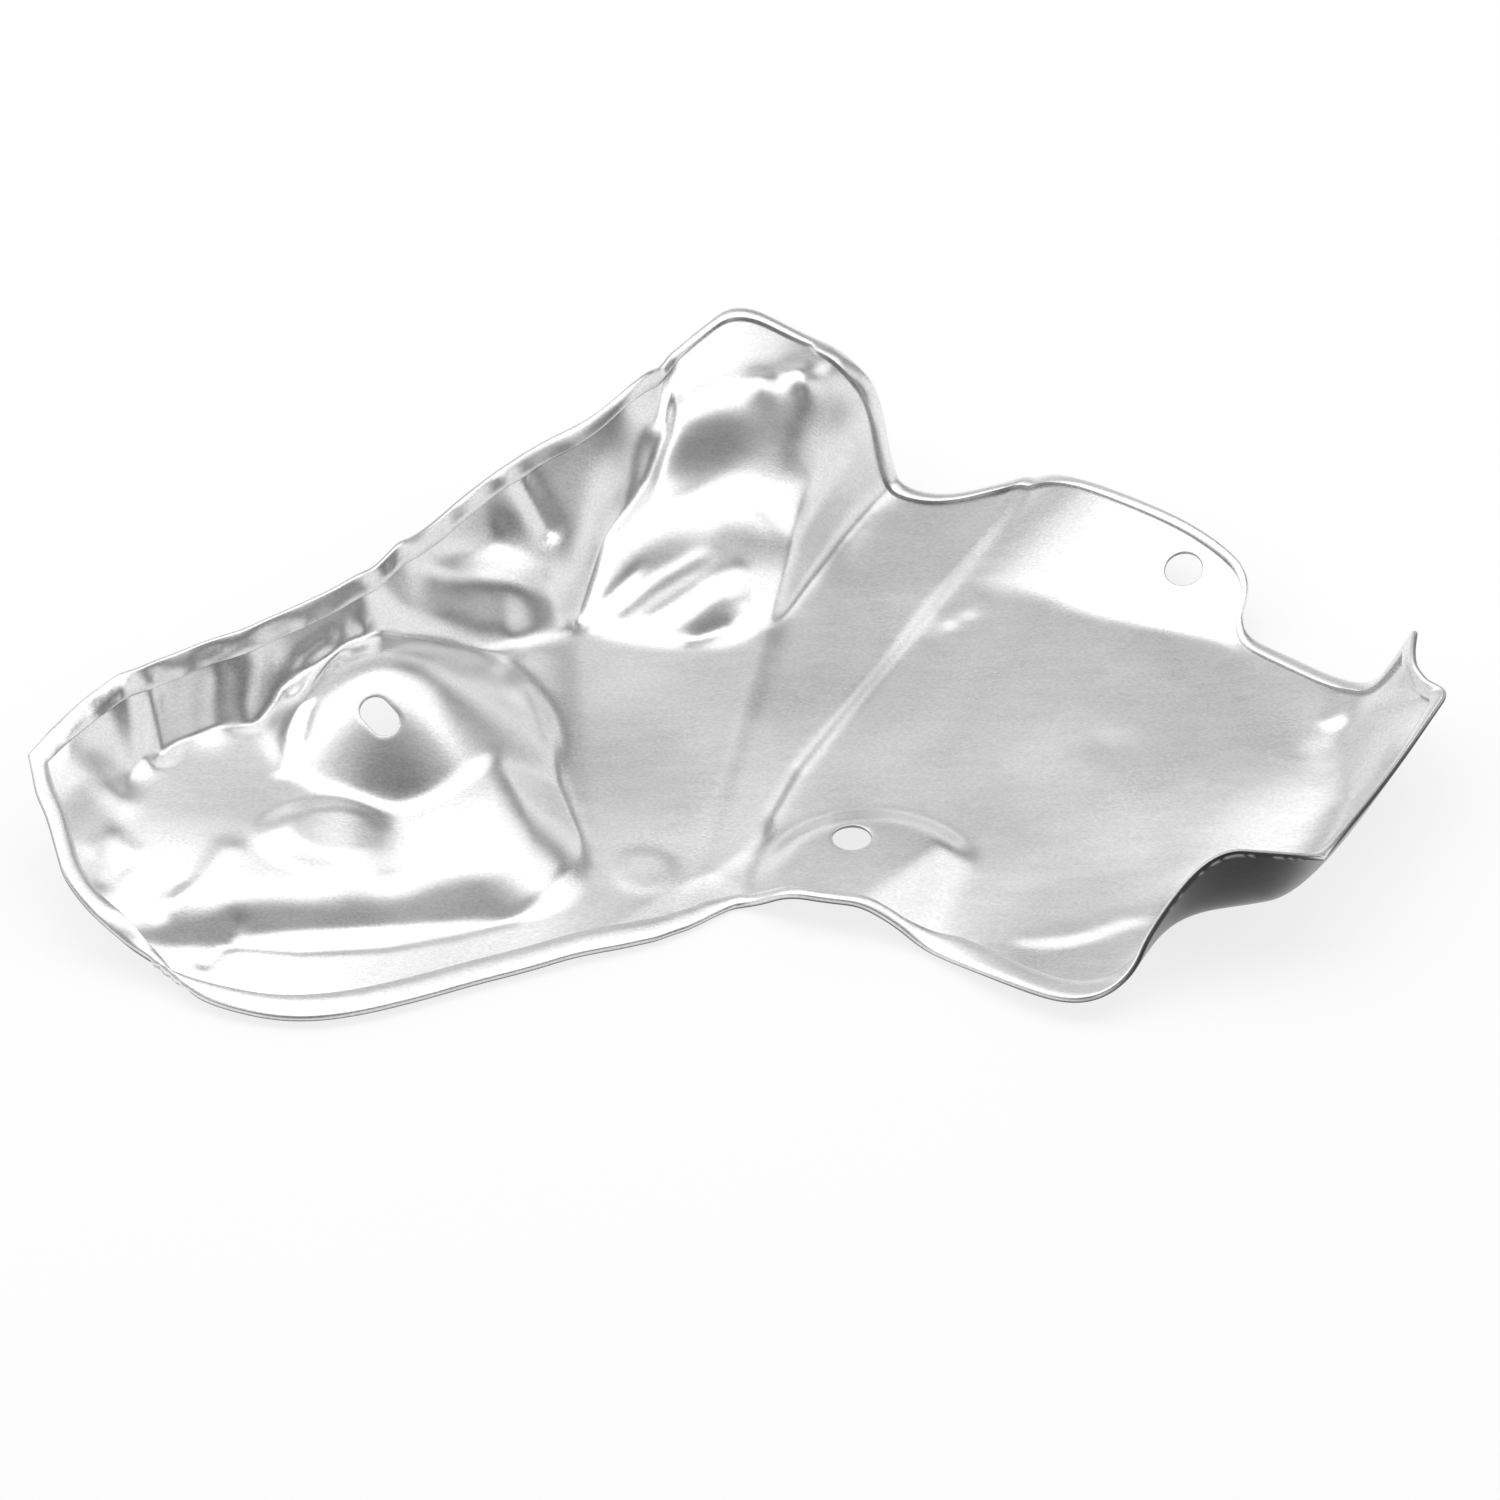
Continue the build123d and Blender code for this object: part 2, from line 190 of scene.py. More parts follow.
def ramp(way, run, blend):
    """Straight slope from 0 to 1 over a run, rounded at both ends."""
    return lower(upper(way / run, 0, blend / run), 1, blend / run)


def left_of(x, y, line):
    """Distance to the left of a line through two points."""
    (ax, ay), (bx, by) = line
    return ((bx - ax) * (y - ay) - (by - ay) * (x - ax)) / np.hypot(bx - ax, by - ay)


# Raised pad in the left half, which slopes down towards the front edge and into the back wall
PAD_FOOT = 1.0
PAD_TOP = 10.0
PAD_SLOPE = 0.62
PAD_RIGHT_SLOPE = 0.68
PAD_CORNER = 24.0
PAD_SHOULDER = 2.2
PAD_CREASE = 0.8
PAD_RIGHT_EDGE = ((-39.0, -32.0), (-56.0, 34.0))
PAD_FRONT_EDGE = ((-105.0, -71.0), (-52.0, -58.0))
PAD_TILT = 0.11
PAD_BEND = -22.0
PAD_BEND_ROUND = 12.0
PAD_BEND_SHIFT = 22.0
PAD_LEFT = -88.0
PAD_LEFT_RUN = 30.0
PAD_BACK = 34.0
PAD_FADE = 40.0

# Domed boss with the slotted fixing hole, and shallow oval and round press marks
SLOT_BOSS = (-84.5, 1.0)
SLOT_BOSS_TOP = 25.5
SLOT_BOSS_SLOPE = 0.88
SLOT_BOSS_ROUND = 17.0
SLOT_BOSS_CREASE = 2.0
OVAL = (-95.0, -40.5)
OVAL_HALF = (20.0, 13.5)
OVAL_HEIGHT = 1.4
OVAL_LEAN = 1.3
OVAL_EDGE = 0.55
ROUND_MARK = (-24.0, -42.0)
ROUND_MARK_RADIUS = 9.0
ROUND_MARK_HEIGHT = 0.16
ROUND_MARK_EDGE = 4.0

# Boss with a round fixing hole, at the front edge, and the facet on its right side
FRONT_BOSS = (29.0, -48.0)
FRONT_BOSS_RADIUS = 27.0
FRONT_BOSS_BACK_ROUND = 4.0
FRONT_BOSS_FOOT = 2.0
FRONT_BOSS_TOP = 6.4
FRONT_BOSS_TILT = -0.03
FRONT_BOSS_SLOPE = 0.65
FRONT_BOSS_SHOULDER = 2.5
FRONT_BOSS_CREASE = 1.5
FACET_EDGE = ((28.8, -55.6), (43.7, -34.4))
FACET_SLOPE = 0.34
FACET_BEND = 1.0

# Step along the waist, down to the right half, which widens towards the front edge
WAIST_STEP = ((66.6, 99.7), (9.7, -6.0), (3.5, -22.1), (0.7, -35.6), (-3.4, -45.2), (-11.4, -52.9))
WAIST_DROP = 1.6
WAIST_RUN = 2.8
WAIST_BEND = 0.9
WAIST_SPREAD = 16.0
WAIST_SPREAD_START = -26.0
WAIST_SPREAD_RUN = 24.0

# Right half: tilt of the panel, shelf in front of it, pocket in the front corner
PANEL_TILT = 0.045
PANEL_BACK = 30.0
PANEL_BACK_ROUND = 20.0
PANEL_MIDDLE = 5.0
PANEL_START = 30.0
PANEL_START_RUN = 60.0
SHELF_RISE = 0.02
SHELF_TURN = (75.0, -47.0)
SHELF_TURN_ROUND = 6.0
SHELF_LEVEL = -49.0
SHELF_SLANT = 0.405
SHELF_CREASE = 1.5
SHELF_START = 42.0
SHELF_START_RUN = 14.0
POCKET_STEP = 0.3
POCKET_RUN = 4.0
POCKET_BEND = 1.0
POCKET_EDGE = ((64.0, -71.0), (88.0, -62.0))
POCKET_LEFT = 58.0
POCKET_LEFT_RUN = 10.0
POCKET_RIGHT = 98.0
POCKET_RIGHT_RUN = 8.0

# Folds of the gathered sheet: points of the ridge line, height and width
FOLDS = (
    # Left end: lobe, groove and crinkles of the gathered sheet
    (((-143.9, -7.2), (-142.1, -10.9), (-140.7, -16.0)), 1.6, 4.0),
    (((-138.5, -4.0), (-137.2, -8.9), (-135.8, -15.0)), -1.5, 2.4),
    (((-157.4, -22.8), (-153.9, -18.5), (-149.6, -12.5)), 0.5, 3.0),
    (((-150.2, -47.8), (-145.9, -42.5), (-142.1, -47.1)), 0.3, 2.6),
    (((-147.0, -56.4), (-143.3, -50.3)), -0.3, 2.6),
    (((-156.0, -25.8), (-150.2, -26.5), (-144.6, -30.3)), 0.6, 4.0),
    # Waves of the left back wall
    (((-124.1, 2.2), (-124.9, -4.0)), 1.3, 4.5),
    (((-114.5, 7.8), (-116.4, 1.0)), -1.5, 4.5),
    (((-108.1, 4.0), (-104.4, 10.9), (-97.6, 16.4)), 0.9, 1.8),
    (((-103.9, 2.0), (-99.9, 11.2), (-92.6, 18.7)), -0.9, 1.6),
    (((-97.3, 6.3), (-93.9, 16.3), (-90.8, 20.7)), 0.9, 1.8),
    (((-106.9, -18.6), (-106.3, -9.0), (-104.1, -3.6)), 0.9, 1.8),
    (((-103.9, -12.0), (-102.6, -6.0)), -0.6, 1.6),
    (((-87.6, 27.0), (-86.5, 20.0)), 1.3, 4.0),
    (((-86.2, 29.2), (-72.5, 32.7), (-57.5, 37.0)), -1.9, 4.5),
    (((-79.4, 37.7), (-63.3, 41.4), (-47.1, 45.5)), 2.0, 5.0),
    (((-77.6, 40.4), (-69.1, 47.9), (-60.1, 53.8)), -1.5, 4.5),
    (((-53.2, 66.3), (-50.4, 63.5), (-47.6, 59.9)), -1.3, 2.5),
    # Valley, and the lobes and draw wrinkles of the hill
    (((-20.7, 101.5), (-20.4, 87.1), (-26.0, 76.1), (-34.3, 65.9), (-40.4, 46.0)), -1.6, 2.5),
    (((2.9, 98.3), (3.3, 97.0)), 1.3, 3.4),
    (((11.4, 101.2), (11.9, 99.6)), 1.3, 3.2),
    (((-33.9, 50.0), (-30.7, 53.0), (-26.9, 56.0)), -0.35, 1.3),
    (((-30.1, 47.0), (-21.2, 53.6), (-11.8, 58.2)), 0.35, 1.5),
    (((-23.5, 44.9), (-11.8, 51.8), (-2.4, 56.5)), -0.35, 1.4),
    (((-20.0, 40.7), (-8.2, 47.3), (-1.2, 51.3)), 0.35, 1.5),
    (((-14.1, 39.0), (-2.4, 45.0)), -0.35, 1.4),
    (((-29.1, 68.0), (-25.3, 76.1)), 0.6, 1.6),
    (((-12.5, 40.0), (-5.4, 42.3)), -0.6, 1.8),
    # Left end of the pad's slope
    (((-134.1, -65.1), (-130.8, -56.5)), -0.5, 2.2),
    (((-132.4, -63.5), (-124.2, -55.9), (-119.7, -46.4)), 0.5, 3.2),
    (((-123.7, -76.1), (-119.9, -71.3), (-116.9, -66.6)), -0.6, 2.4),
    # Foot of the pad
    (((-51.4, 17.1), (-44.5, -8.3), (-38.9, -31.2), (-39.1, -36.9), (-41.9, -45.4), (-47.1, -53.1),
      (-54.3, -59.4), (-66.5, -64.3), (-82.8, -69.5), (-102.2, -72.4), (-118.6, -71.5)), -0.25, 1.3),
    # Waist, ear and panel
    (((47.7, 49.1), (53.4, 56.1)), 0.35, 2.6),
    (((44.7, 41.7), (51.4, 48.3)), -0.3, 2.8),
    (((83.2, 0.6), (84.1, -0.2)), -0.22, 5.0),
    # Crease and drop at the foot of the right end wall
    (((137.3, 3.3), (136.1, -2.6), (137.1, -15.7), (138.0, -22.1)), -0.5, 3.0),
    (((130.5, -5.0), (131.2, -9.6)), -0.15, 4.0),
    (((138.7, 13.3), (136.1, 6.1)), 0.6, 2.2),
)

# Places where the slope changes: points of the line, rise over the line and width
STEPS = (
    # Hill: steep band below its top, easier slope under it, and the shoulder of the ridge
    (((-24.0, 82.0), (-2.4, 87.5), (20.0, 97.0)), 3.2, 9.0),
    (((-26.0, 66.0), (-6.5, 71.0), (8.0, 74.0)), -2.6, 9.0),
    (((22.0, 104.0), (20.2, 100.6), (11.9, 83.9), (0.5, 68.7), (-2.4, 51.2)), -3.0, 8.0),
    # Flat stretch of the wall beside the valley
    (((-62.0, 44.0), (-36.0, 78.0)), -3.0, 14.0),
    # Right side of the oval, and the edge of the pocket
    (((-86.0, -30.0), (-86.0, -48.0)), -2.0, 8.0),
    (((63.0, -68.6), (72.6, -67.9), (77.9, -65.9), (85.7, -61.6)), 0.35, 3.0),
)

# Soft waves all over the sheet: radians for each millimetre in X and in Y, start and height
WAVES = (
    (0.083, 0.041, 0.4, 0.20), (-0.052, 0.094, 2.1, 0.20), (0.121, -0.066, 4.0, 0.06),
    (0.037, 0.139, 5.2, 0.06), (0.168, 0.092, 1.3, 0.03), (-0.143, 0.171, 3.3, 0.03),
)


def along_line(x, y, points):
    """Distance to the left of a chain of points, and distance past its ends."""
    best = np.full(x.shape, 1e9)
    left = np.zeros(x.shape)
    past = np.zeros(x.shape)
    for (ax, ay), (bx, by) in zip(points[:-1], points[1:]):
        run = np.hypot(bx - ax, by - ay)
        way = ((x - ax) * (bx - ax) + (y - ay) * (by - ay)) / run
        side = ((bx - ax) * (y - ay) - (by - ay) * (x - ax)) / run
        ahead, behind = np.maximum(way - run, 0), np.maximum(-way, 0)
        gap = np.hypot(side, ahead + behind)
        inner = (ahead if (bx, by) != points[-1] else 0) + (behind if (ax, ay) != points[0] else 0)
        near = gap < best
        best = np.where(near, gap, best)
        left = np.where(near, np.where(side < 0, -1, 1) * np.hypot(side, inner), left)
        past = np.where(near, ahead + behind - inner, past)
    return left, past


def pressed(x, y, z):
    """Height after the pads, bosses, marks and steps are pressed in."""
    right_rise = left_of(x, y, PAD_RIGHT_EDGE) * PAD_RIGHT_SLOPE
    front_rise = left_of(x, y, PAD_FRONT_EDGE) * PAD_SLOPE
    rise = lower(right_rise, front_rise, PAD_CORNER * PAD_SLOPE)
    bend = PAD_BEND - PAD_BEND_SHIFT * ease((PAD_LEFT - x) / PAD_LEFT_RUN)
    pad = PAD_TOP - PAD_TILT * upper(bend - y, 0, PAD_BEND_ROUND)
    pad = pad * ease((PAD_BACK - y) / PAD_FADE)
    z = upper(z, PAD_FOOT + lower(pad, rise, PAD_SHOULDER), PAD_CREASE)

    reach = np.hypot(x - SLOT_BOSS[0], y - SLOT_BOSS[1])
    dome = SLOT_BOSS_TOP - SLOT_BOSS_SLOPE * (np.hypot(reach, SLOT_BOSS_ROUND) - SLOT_BOSS_ROUND)
    z = upper(z, dome, SLOT_BOSS_CREASE)

    reach = np.hypot((x - OVAL[0]) / OVAL_HALF[0], (y - OVAL[1]) / OVAL_HALF[1])
    lean = 1 - OVAL_LEAN * (x - OVAL[0]) / OVAL_HALF[0]
    z = z + OVAL_HEIGHT * lean * ease((1 - reach) / OVAL_EDGE)
    reach = np.hypot(x - ROUND_MARK[0], y - ROUND_MARK[1])
    z = z + ROUND_MARK_HEIGHT * ease((ROUND_MARK_RADIUS - reach) / ROUND_MARK_EDGE)

    reach = np.hypot(x - FRONT_BOSS[0], upper(y - FRONT_BOSS[1], 0, FRONT_BOSS_BACK_ROUND))
    top = FRONT_BOSS_TOP + FRONT_BOSS_TILT * (y - FRONT_BOSS[1])
    facet = FRONT_BOSS_TOP + FACET_SLOPE * left_of(x, y, FACET_EDGE)
    side = FRONT_BOSS_FOOT + FRONT_BOSS_SLOPE * (FRONT_BOSS_RADIUS - reach)
    boss = lower(lower(top, facet, FACET_BEND), side, FRONT_BOSS_SHOULDER)
    z = upper(z, boss, FRONT_BOSS_CREASE)

    spread = WAIST_SPREAD * ease((WAIST_SPREAD_START - y) / WAIST_SPREAD_RUN)
    way = along_line(x, y, WAIST_STEP)[0] + spread / 2
    z = z + WAIST_DROP * (1 - ramp(way, WAIST_RUN + spread, WAIST_BEND))

    for points, height, width in FOLDS:
        left, past = along_line(x, y, points)
        z = z + height * np.exp(-(left ** 2 + past ** 2) / width ** 2)
    for points, height, width in STEPS:
        left, past = along_line(x, y, points)
        z = z + height * left / width * np.exp(-(left ** 2 + past ** 2) / width ** 2)
    for across, back, turn, height in WAVES:
        z = z + height * np.sin(across * x + back * y + turn)

    tilted = lower(y, PANEL_BACK, PANEL_BACK_ROUND) - PANEL_MIDDLE
    z = z + PANEL_TILT * tilted * ease((x - PANEL_START) / PANEL_START_RUN)
    crease = upper(SHELF_LEVEL, SHELF_TURN[1] + SHELF_SLANT * (x - SHELF_TURN[0]), SHELF_TURN_ROUND)
    shelf = upper(crease - y, 0, SHELF_CREASE) * ease((x - SHELF_START) / SHELF_START_RUN)
    z = z + SHELF_RISE * shelf
    from_left = ease((x - POCKET_LEFT) / POCKET_LEFT_RUN)
    from_right = ease((POCKET_RIGHT - x) / POCKET_RIGHT_RUN)
    pocket = ramp(1 - left_of(x, y, POCKET_EDGE), POCKET_RUN, POCKET_BEND)
    return z - POCKET_STEP * pocket * from_left * from_right


# Lines of the mesh along and across the sheet. The first five on each side lie in the hem,
# and the next two stand close to the fifth, where the hem's cut edge drops to the sheet.
ALONG = 264
ACROSS = 164
HEM_LINES = 5
HEM_PLACES = (0.0, 0.25, 0.6)
CUT_EDGE = 0.05
SEAM = 0.22

# Widths of the hem from the left end to the right end, at numbered sections
FRONT_HEM = ((0, 5.0), (3, 6.5), (17, 6.0), (19.5, 2.6), (22.6, 2.6), (23.4, 6.5), (27, 6.5), (28, 4.0),
             (30, 4.0))
BACK_HEM = ((0, 5.0), (9, 5.0), (10.5, 3.4), (12.5, 2.4), (13.3, 2.4), (13.4, 4.0), (16, 3.6), (18, 2.8),
            (20, 2.8), (21.5, 1.9), (24.5, 1.9), (26, 2.8), (30, 3.4))
LEFT_HEM = 4.5
RIGHT_HEM = 3.5


def spaced(line, count, first, last):
    """Points along a line, with the lines of the hem at each end and the rest evenly between."""
    run = np.concatenate([[0], np.cumsum(np.linalg.norm(np.diff(line, axis=0), axis=1))])

    def hem(width):
        """Places of the hem's lines, from the edge of the sheet."""
        return np.array([place * width for place in HEM_PLACES]
                        + [width - SEAM, width, width + CUT_EDGE, width + SEAM])

    start, stop = hem(first), run[-1] - hem(last)[::-1]
    middle = np.linspace(start[-1], stop[0], count - len(start) - len(stop) + 2)[1:-1]
    ways = np.concatenate([start, middle, stop])
    return np.column_stack([np.interp(ways, run, line[:, axis]) for axis in range(3)])


# The form is worked out on a finer grid first, and the lines are then spaced along it
FINE_ALONG = 1200
FINE_ACROSS = 700
places = np.linspace(0, 1, FINE_ALONG)
along = weights(len(SECTIONS), places)
across = weights(len(SECTIONS[0]), np.linspace(0, 1, FINE_ACROSS))
fine = np.einsum("bj,ajk->abk", across, np.einsum("ai,ijk->ajk", along, SECTIONS))
fine[..., 2] = pressed(fine[..., 0], fine[..., 1], fine[..., 2])
numbers = places * (len(SECTIONS) - 1)
front_hem, back_hem = (np.interp(numbers, *np.transpose(widths)) for widths in (FRONT_HEM, BACK_HEM))
crossing = np.array([spaced(line, ACROSS, *hem) for line, *hem in zip(fine, front_hem, back_hem)])
lengthwise = [spaced(line, ALONG, LEFT_HEM, RIGHT_HEM) for line in crossing.swapaxes(0, 1)]
face = np.array(lengthwise).swapaxes(0, 1)

# Directions up out of the sheet, and out of it along its edge
up = np.cross(np.gradient(face, axis=0), np.gradient(face, axis=1))
up /= np.linalg.norm(up, axis=2, keepdims=True)
away = np.zeros_like(face)
for outer, inner in ((0, 1), (-1, -2)):
    ends = face[outer] - face[inner]
    away[outer] += ends / np.linalg.norm(ends, axis=1, keepdims=True)
    sides = face[:, outer] - face[:, inner]
    away[:, outer] += sides / np.linalg.norm(sides, axis=1, keepdims=True)
away /= np.maximum(np.linalg.norm(away, axis=2, keepdims=True), 1)

# Steps of each point from the nearest edge of the sheet
steps_along = np.minimum(np.arange(ALONG), np.arange(ALONG)[::-1])
steps_across = np.minimum(np.arange(ACROSS), np.arange(ACROSS)[::-1])
steps = np.minimum(steps_along[:, None], steps_across[None, :])

# The hem lies on the sheet with a slight swell, and ruffles where it was folded over the
# gathered left walls
HEM_SWELL = np.array([1.0, 1.2, 1.25, 1.1, 1.0] + [0.0] * (ACROSS // 2))
GATHERED_RIGHT = -20.0
GATHERED_RIGHT_RUN = 60.0
GATHERED_FRONT = -60.0
GATHERED_FRONT_RUN = 40.0
PLEATS = ((-149.0, -9.6), (-145.3, -7.0), (-139.5, -4.0), (-130.7, 0.6), (-103.7, 16.4), (-83.0, 33.7),
          (-72.0, 48.0), (-58.8, 64.5), (-41.5, 77.0))
PLEAT_HEIGHT = 0.7
PLEAT_SPREAD = 3.0
RUFFLES = ((0.23, 0.31, 0.0, 0.25), (0.61, -0.17, 1.0, 0.15))
x, y = face[..., 0], face[..., 1]
gathered = ease((GATHERED_RIGHT - x) / GATHERED_RIGHT_RUN)
gathered = gathered * ease((y - GATHERED_FRONT) / GATHERED_FRONT_RUN)
ruffle = np.zeros(x.shape)
for lengthways, crossways, turn, height in RUFFLES:
    ruffle += height * np.sin(lengthways * x + crossways * y + turn)
for pleat in PLEATS:
    ruffle += PLEAT_HEIGHT * np.exp(-((x - pleat[0]) ** 2 + (y - pleat[1]) ** 2) / PLEAT_SPREAD)
loose = (steps > 0) & (steps < HEM_LINES)
top = face + SHEET * (HEM_SWELL[steps] + loose * gathered * ruffle)[..., None] * up
under = face - SHEET * up

# Turns of the fold round the edge, from the top of the hem to the under face, each with its
# share of the painted shade that darkens the underside
UNDERSIDE_SHADE = 0.72
FOLD_TURNS = ((54, 0.0), (18, 0.2), (-18, 0.9), (-54, 1.0), (-90, UNDERSIDE_SHADE))


def rolled(turn):
    """Points of the sheet's edge, turned round the fold."""
    return face + SHEET * (np.sin(radians(turn)) * up + np.cos(radians(turn)) * away)


rolls = [rolled(turn) for turn, _ in FOLD_TURNS]

# The mesh is set into the box of the solid part
low, high = (np.array(point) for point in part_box("heat_shield"))
shapes = (top, under, *rolls)
own_low = np.min([shape.min(axis=(0, 1)) for shape in shapes], axis=0)
own_high = np.max([shape.max(axis=(0, 1)) for shape in shapes], axis=0)


def metres(point):
    """A place in millimetres, set into the box of the solid part."""
    return Vector(low + (point - own_low) * (high - low) / (own_high - own_low))


def number(vertex):
    """Line along and line across of a vertex of the flat starting grid."""
    return round((vertex.co.x + 1) / 2 * (ALONG - 1)), round((vertex.co.y + 1) / 2 * (ACROSS - 1))


# The upper face starts as a flat grid, with painted shade along the hem's cut edge, in the joint where it
# meets the sheet
mesh = bmesh.new()
# Painted shade in the joint under the hem's cut edge
joint_shade = mesh.verts.layers.float.new("joint_shade")
# Painted shade that darkens the underside, the lower turns of the fold and the holes' walls
underside_shade = mesh.verts.layers.float.new("underside_shade")
bmesh.ops.create_grid(mesh, x_segments=ALONG - 1, y_segments=ACROSS - 1, size=1)
upper_verts = {vertex: number(vertex) for vertex in mesh.verts}
for edge in mesh.edges:
    ends = [steps[upper_verts[vertex]] for vertex in edge.verts]
    edge.smooth = not (ends[0] == ends[1] and ends[0] in (HEM_LINES - 1, HEM_LINES))
for vertex, place in upper_verts.items():
    vertex.co = metres(top[place])
    # Painted shade in the joint under the hem's cut edge
    vertex[joint_shade] = float(steps[place] in (HEM_LINES - 1, HEM_LINES))

# The fold runs round the edge from the top of the hem to the under face, with painted shade darkening its
# lower turns
rim = [edge for edge in mesh.edges if edge.is_boundary]
ring = {vertex: place for vertex, place in upper_verts.items() if vertex.is_boundary}
for roll, (_, shade_share) in zip(rolls, FOLD_TURNS):
    result = bmesh.ops.extrude_edge_only(mesh, edges=rim)
    fresh = [item for item in result["geom"] if isinstance(item, bmesh.types.BMVert)]
    rim = [item for item in result["geom"] if isinstance(item, bmesh.types.BMEdge) and item.is_boundary]
    old = {tuple(vertex.co): place for vertex, place in ring.items()}
    ring = {vertex: old[tuple(vertex.co)] for vertex in fresh}
    for vertex, place in ring.items():
        vertex.co = metres(roll[place])
        vertex[underside_shade] = shade_share

# The under face is a second grid in painted shade, darkest on its wall at the front right corner
CORNER_SHADE_LEFT = 85.0
CORNER_SHADE_BACK = -45.0
CORNER_SHADE_RUN = 15.0
before = set(mesh.verts)
bmesh.ops.create_grid(mesh, x_segments=ALONG - 1, y_segments=ACROSS - 1, size=1)
lower_verts = {vertex: number(vertex) for vertex in mesh.verts if vertex not in before}
# Painted shade, strongest on the under face's wall at the front right corner
corner_wall_shade = ease((x - CORNER_SHADE_LEFT) / CORNER_SHADE_RUN) * ease((CORNER_SHADE_BACK - y) / CORNER_SHADE_RUN)
for vertex, place in lower_verts.items():
    vertex.co = metres(under[place])
    vertex[underside_shade] = UNDERSIDE_SHADE + (1 - UNDERSIDE_SHADE) * corner_wall_shade[place]
lower_faces = [item for item in mesh.faces if item.verts[0] in lower_verts]
bmesh.ops.reverse_faces(mesh, faces=lower_faces)
upper_at = {place: vertex for vertex, place in upper_verts.items()}
lower_at = {place: vertex for vertex, place in lower_verts.items()}

# Fixing holes, punched through both sides: the mesh is opened a little wider than the
# hole, and rings of faces lead from the opening to the hole's rounded edge
FRONT_HOLE_PLACE = (23.4, -35.0)
EAR_HOLE_PLACE = (102.4, 57.7)
HOLE_DIAMETER = 9.0
SLOT_PLACE = (-85.4, -11.7)
SLOT_LENGTH = 10.5
SLOT_WIDTH = 7.0
SLOT_TURN = -50.0
SLOT_HALF = (SLOT_LENGTH - SLOT_WIDTH) / 2

# How far the opening and its rim lie past the hole, how far round the hole's centre the sheet's
# points are read, how near a point has to be to count most, and rounds of evening out
OPENING = 1.3
COLLAR = 1.6
AROUND = 10.0
NEAR = 2.0
EVENING_ROUNDS = 4

# Rings of the hole's edge: growth past the hole, depth, and share of the painted shade that darkens the
# hole's wall
EDGE_RINGS = ((0.32, 0.0, 0.0), (0.1, 0.07, 0.2), (0.0, 0.3, 0.8))


def round_reach(angle):
    """Distance from a round hole's centre to its edge, the same in each direction."""
    return HOLE_DIAMETER / 2


def slot_reach(angle):
    """Distance from the slot's centre to its edge, in a direction off its long axis."""
    side, rise = abs(np.cos(angle - radians(SLOT_TURN))), abs(np.sin(angle - radians(SLOT_TURN)))
    straight = SLOT_WIDTH / 2 / max(rise, 1e-6)
    ends = SLOT_HALF * side + np.sqrt(max((SLOT_WIDTH / 2) ** 2 - (SLOT_HALF * rise) ** 2, 0))
    return straight if straight * side < SLOT_HALF else ends


def height_at(a, b, known):
    """Height of the sheet at a place, from the points round it, the near ones most."""
    off = known[:, :2] - (a, b)
    share = np.exp(-(off ** 2).sum(axis=1) / NEAR ** 2)
    terms = np.column_stack([np.ones(len(off)), off, off ** 2, off[:, :1] * off[:, 1:]])
    return np.linalg.lstsq(terms * share[:, None], known[:, 2] * share, rcond=None)[0][0]


def walked(spots, local):
    """Spots round an opening, in the order in which the mesh joins them, counter-clockwise."""
    spot_of = {upper_at[spot]: spot for spot in spots}
    first = min(spot_of.values(), key=lambda spot: (abs(local[spot][1]) > 1, -local[spot][0]))
    order = [first]
    while True:
        rim = [edge for edge in upper_at[order[-1]].link_edges if edge.is_boundary]
        ahead = [spot_of[edge.other_vert(upper_at[order[-1]])] for edge in rim]
        if len(order) == 1:
            ahead = [max(ahead, key=lambda spot: local[spot][1])]
        ahead = [spot for spot in ahead if spot not in order[-2:]]
        if ahead[0] == first:
            return order
        order.append(ahead[0])


